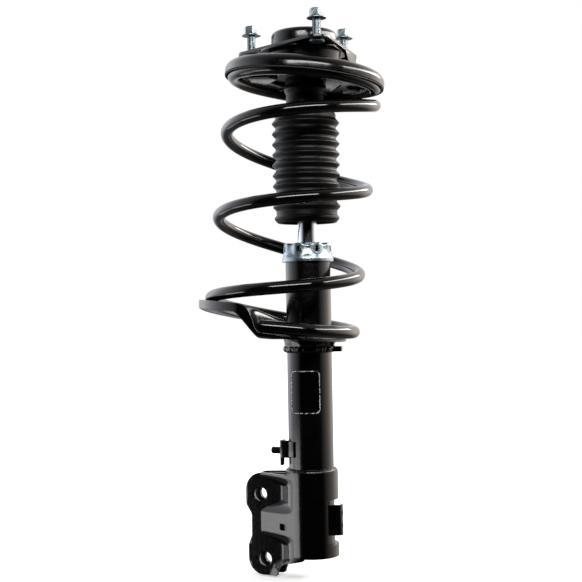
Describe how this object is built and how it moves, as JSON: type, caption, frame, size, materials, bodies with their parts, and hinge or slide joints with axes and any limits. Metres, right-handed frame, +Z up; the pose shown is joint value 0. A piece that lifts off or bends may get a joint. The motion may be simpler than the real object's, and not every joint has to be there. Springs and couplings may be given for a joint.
{
  "type": "strut assembly",
  "caption": "Front suspension strut: tower mount with studs, leaning coil spring between pressed seats, bellows boot, damper tube and a clevis bracket for the knuckle.",
  "frame": {"origin": "centre of the tower studs' circle on the mount plate's top face, on the damper's axis", "axes": "+Z up the damper's axis towards the car body, -X outboard to the knuckle, Y along the car"},
  "size_m": [0.2114, 0.1997, 0.6308],
  "materials": {
    "plate_black": "gloss",
    "cup_black": "satin",
    "seat_black": "gloss",
    "spring_black": "gloss",
    "tube_black": "gloss",
    "bracket_black": "gloss",
    "label_black": "satin",
    "mount_rubber": "matte",
    "boot_rubber": "matte",
    "seal_rubber": "matte",
    "foam": "matte",
    "zinc": "satin",
    "cap_zinc": "satin",
    "core_steel": "satin",
    "race_steel": "polished",
    "cage_plastic": "satin",
    "rod_chrome": "mirror polished",
    "sintered": "matte",
    "band_plastic": "satin"
  },
  "bodies": {
    "mount": {"mount_plate": "plate_black", "mount_cup": "cup_black", "mount_pan": "plate_black", "mount_rubber": "mount_rubber", "mount_core": "core_steel", "tower_studs": "zinc", "stud_nuts": "zinc", "rod_washer": "zinc", "rod_nut": "zinc", "bearing_upper_race": "race_steel", "piston_rod": "rod_chrome", "rebound_stop": "core_steel", "piston": "sintered", "piston_ring": "band_plastic", "piston_nut": "core_steel"},
    "upper_seat": {"bearing_balls": "race_steel", "bearing_cage": "cage_plastic", "bearing_lower_race": "race_steel", "upper_spring_seat": "seat_black", "upper_spring_pad": "mount_rubber", "coil_spring": "spring_black", "dust_boot": "boot_rubber", "bump_stop": "foam"},
    "strut": {"tube_cap": "cap_zinc", "rod_seal": "seal_rubber", "rod_guide": "sintered", "inner_tube": "core_steel", "base_valve": "sintered", "tube_base": "tube_black", "strut_tube": "tube_black", "lower_spring_seat": "seat_black", "seat_collar": "seat_black", "rating_plate": "label_black", "sensor_bracket": "bracket_black", "sensor_stud": "bracket_black", "bracket_weld": "tube_black", "knuckle_bracket": "bracket_black", "hose_bracket": "bracket_black"}
  },
  "joints": [
    {"name": "steer_swivel", "type": "hinge", "parent": "mount", "child": "upper_seat", "pos_m": [0, 0, -0.023], "axis": [0, 0, 1], "range_deg": [-38, 38]},
    {"name": "stroke", "type": "slide", "parent": "upper_seat", "child": "strut", "axis": [0, 0, 1], "range_m": [0, 0.104], "stiffness_N_per_m": 25000, "deforming": ["coil_spring"]}
  ]
}
